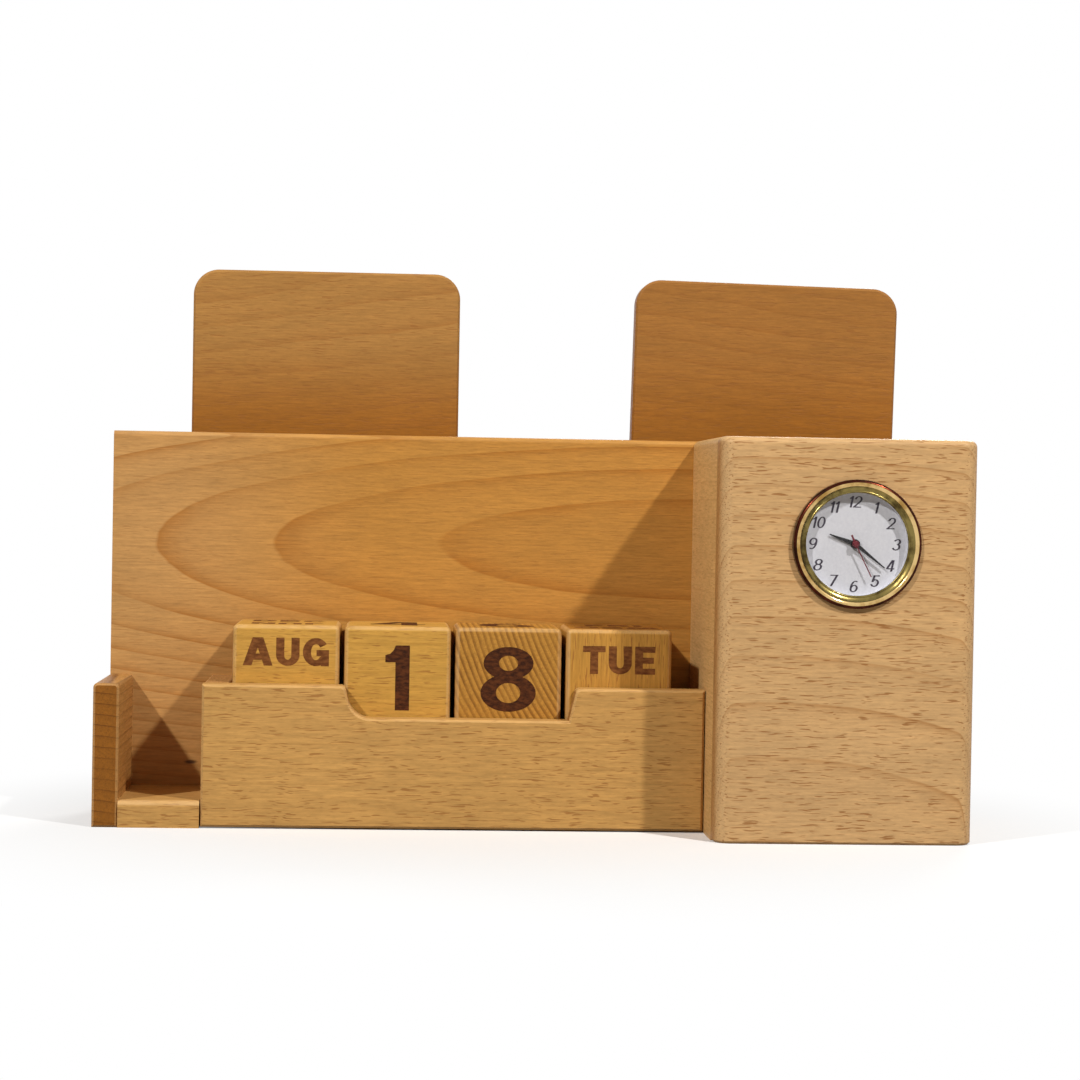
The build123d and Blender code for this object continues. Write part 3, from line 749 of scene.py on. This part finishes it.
RIM = 1.1 * MM  # radius of the rounded rim
RIM_CENTRE = BEZEL_RADIUS - RIM
RIM_LEVEL = BEZEL_PROUD - RIM
SHOULDER_END = 78  # degrees up the rim's round, from the outside: its painted dark reflection reaches to here
CREST_END = 138  # and its painted bright reflection to here
FOOT = 0.3 * MM  # radius at the foot of the skirt
SKIRT_LEVEL = 1.1 * MM  # where the skirt ends and the collar starts
BEAD = 0.36 * MM  # radius of the bead round the glass
BEAD_CENTRE = SIGHT_RADIUS + BEAD
BEAD_LEVEL = GLASS_FACE + 0.1 * MM
BEAD_START = 45  # degrees
HOLLOW_SAG = 0.25 * MM  # how deep the hollow is below a line from the crest to the bead
TURNING_LINES = 9000.0  # waves to the metre
REFLECTION_PATCHES = 220.0  # patches of painted reflection, to the metre
GLASS_SMEARS = 500.0  # to the metre

NUMERAL_RADIUS = 12.15 * MM
NUMERAL_HEIGHT = 3.3 * MM
NUMERAL_SPREAD = 0.92  # width of a numeral for each unit drawn, as a share of its height
NUMERAL_LEAN = 0.22  # how far to the right a numeral's top is of its foot, as a share of its height
NUMERAL_GAP = 0.1  # between two figures, in drawn units
PRINT_LIFT = 0.02 * MM
PRINTED = alphabet(Pen(upright=0.2, level=0.09))


def turned_piece(name, profile, material):
    """A ring of the bezel, turned from (radius, height in front of the box face) points."""
    form = bmesh.new()
    rings = []
    for radius, proud in profile:
        ring = []
        for side in range(BEZEL_SIDES):
            turn = tau * side / BEZEL_SIDES
            ring.append(form.verts.new((CLOCK_AXIS.x + radius * cos(turn), BEZEL_BACK - proud,
                                        CLOCK_AXIS.z + radius * sin(turn))))
        rings.append(ring)
    for first, second in zip(rings, rings[1:]):
        for side in range(BEZEL_SIDES):
            after = (side + 1) % BEZEL_SIDES
            form.faces.new((first[side], first[after], second[after], second[side]))
    return finish_mesh(name, form, material, "clock_insert")


def arc(x, y, radius, start, end, steps=8):
    """Points of an arc from start to end degrees, counter-clockwise from the right."""
    turns = [radians(start + (end - start) * step / steps) for step in range(steps + 1)]
    return [(x + radius * cos(turn), y + radius * sin(turn)) for turn in turns]


def make_brass(name, colour, other, roughness):
    """Polished brass with fine turning lines and a few rougher patches, whose second colour is a painted
    reflection.
    """
    material, graph, shader = material_of(name, colour, roughness, metallic=1.0)
    place = object_place(graph)
    from_axis = graph.vector("SUBTRACT", place, CLOCK_AXIS)
    radius = graph.length(graph.vector("MULTIPLY", from_axis, (1.0, 0.0, 1.0)))
    lines = graph.noise(graph.joined(radius), TURNING_LINES)
    dull_reflection = graph.noise(place, REFLECTION_PATCHES, detail=3.0, roughness=0.6)
    # The patches' second colour is a painted reflection.
    graph.feed(shader.inputs["Base Color"], graph.mix(graph.span(dull_reflection, 0.35, 0.7), colour, other))
    graph.feed(shader.inputs["Roughness"], graph.span(dull_reflection, *NOISE_SPAN, 0.8 * roughness, 1.8 * roughness))
    graph.feed(shader.inputs["Normal"], graph.bump(lines, strength=0.25, distance=0.01 * MM))
    return material


def make_bezel():
    """A skirt, collar and shoulder with a painted dark reflection, a crest with a painted bright reflection,
    and a hollow and thin bead round the glass with a painted dull reflection.
    """
    # The three brass colours are painted reflections: dark on the outer side, bright on the crest, dull in
    # the hollow and bead.
    dark = make_brass("bezel_painted_dark_reflection", srgb(72, 30, 18), srgb(34, 18, 12), roughness=0.2)
    bright_reflection = make_brass("bezel_painted_bright_reflection", srgb(220, 188, 128), srgb(164, 126, 66), roughness=0.12)
    dull_reflection = make_brass("bezel_painted_dull_reflection", srgb(134, 118, 68), srgb(62, 50, 26), roughness=0.2)
    foot = arc(BEZEL_RADIUS - FOOT, FOOT, FOOT, -90, 0, 4)
    shoulder = arc(RIM_CENTRE, RIM_LEVEL, RIM, 0, SHOULDER_END)
    crest = arc(RIM_CENTRE, RIM_LEVEL, RIM, SHOULDER_END, CREST_END, 10)
    bead = arc(BEAD_CENTRE, BEAD_LEVEL, BEAD, BEAD_START, 180)
    sag = ((crest[-1][0] + bead[0][0]) / 2, (crest[-1][1] + bead[0][1]) / 2 - HOLLOW_SAG)
    turned_piece("bezel_skirt", [(SIGHT_RADIUS + SEAT_WIDTH, 0.0), *foot, (BEZEL_RADIUS, SKIRT_LEVEL)], dark)
    collar = turned_piece("bezel_collar", [(BEZEL_RADIUS, SKIRT_LEVEL), (BEZEL_RADIUS, RIM_LEVEL)], dark)
    ring = turned_piece("bezel_shoulder", shoulder, dark)
    top = turned_piece("bezel_crest", crest, bright_reflection)
    hollow = turned_piece("bezel_hollow", [crest[-1], sag, bead[0]], dull_reflection)
    edge = turned_piece("bezel_bead", [*bead, (SIGHT_RADIUS, GLASS_FACE)], dull_reflection)
    # A ring this high would cast a larger shadow than the real one does, so only its skirt casts one.
    for polished in (collar, ring, top, hollow, edge):
        polished.visible_shadow = False
    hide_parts("bezel")


def make_numerals():
    ink = stippled("dial_print", srgb(62, 52, 66), srgb(44, 38, 50), 0.5, grain=0.05 * MM, depth=0.002 * MM)
    form = bmesh.new()
    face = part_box("dial")[0].y - PRINT_LIFT
    across, up = Vector((1, 0, 0)), Vector((0, 0, 1))
    for hour in range(1, 13):
        turn = tau * hour / 12
        place = Vector((CLOCK_AXIS.x + NUMERAL_RADIUS * sin(turn), face,
                        CLOCK_AXIS.z + NUMERAL_RADIUS * cos(turn)))
        outlines, drawn = outlines_of(str(hour), PRINTED, NUMERAL_GAP)
        mark_faces(form, outlines, drawn, place, across, up, NUMERAL_SPREAD * drawn * NUMERAL_HEIGHT,
                   NUMERAL_HEIGHT, NUMERAL_LEAN)
    finish_mesh("dial_numerals", form, ink, "clock_insert", smooth=False)


CLOCK_FINISHES = (  # material, its two colours, roughness, grain, depth of the grain, metallic and its nodes
    ("white_dial", srgb(222, 222, 228), srgb(214, 214, 221), 0.55, 0.08 * MM, 0.002 * MM, 0.0,
     ("dial", "dial_ring")),
    ("black_plastic", srgb(30, 30, 31), srgb(22, 22, 23), 0.42, 0.25 * MM, 0.01 * MM, 0.0,
     ("clock_cup", "movement", "back_cover", "setting_knob")),
    ("black_rubber", srgb(26, 26, 26), srgb(34, 33, 32), 0.8, 0.3 * MM, 0.02 * MM, 0.0, ("gasket",)),
    ("black_hands", srgb(26, 22, 24), srgb(20, 18, 20), 0.3, 0.2 * MM, 0.002 * MM, 0.0,
     ("hour_hand", "minute_hand")),
    ("red_hand", srgb(112, 22, 36), srgb(90, 16, 30), 0.35, 0.2 * MM, 0.002 * MM, 0.0, ("second_hand",)),
    ("bright_steel", (0.62, 0.62, 0.62, 1), (0.55, 0.55, 0.55, 1), 0.3, 0.3 * MM, 0.004 * MM, 1.0,
     ("hour_pipe", "minute_pipe", "second_arbor", "button_cell")),
)


def dress_clock():
    make_bezel()
    make_numerals()
    glass, graph, shader = material_of("clear_glass", (0.02, 0.02, 0.02, 1.0), 0.03, Alpha=0.06)
    smear = graph.noise(object_place(graph), GLASS_SMEARS, detail=3.0)
    graph.feed(shader.inputs["Roughness"], graph.span(smear, *NOISE_SPAN, 0.02, 0.06))
    paint("lens", glass)
    for *finish, node_names in CLOCK_FINISHES:
        material = stippled(*finish)
        for node_name in node_names:
            paint(node_name, material)


make_camera()
make_lamps()
make_world()
make_floor()
dress_boards()
make_cubes()
dress_clock()
bpy.context.scene.view_settings.view_transform = "Standard"
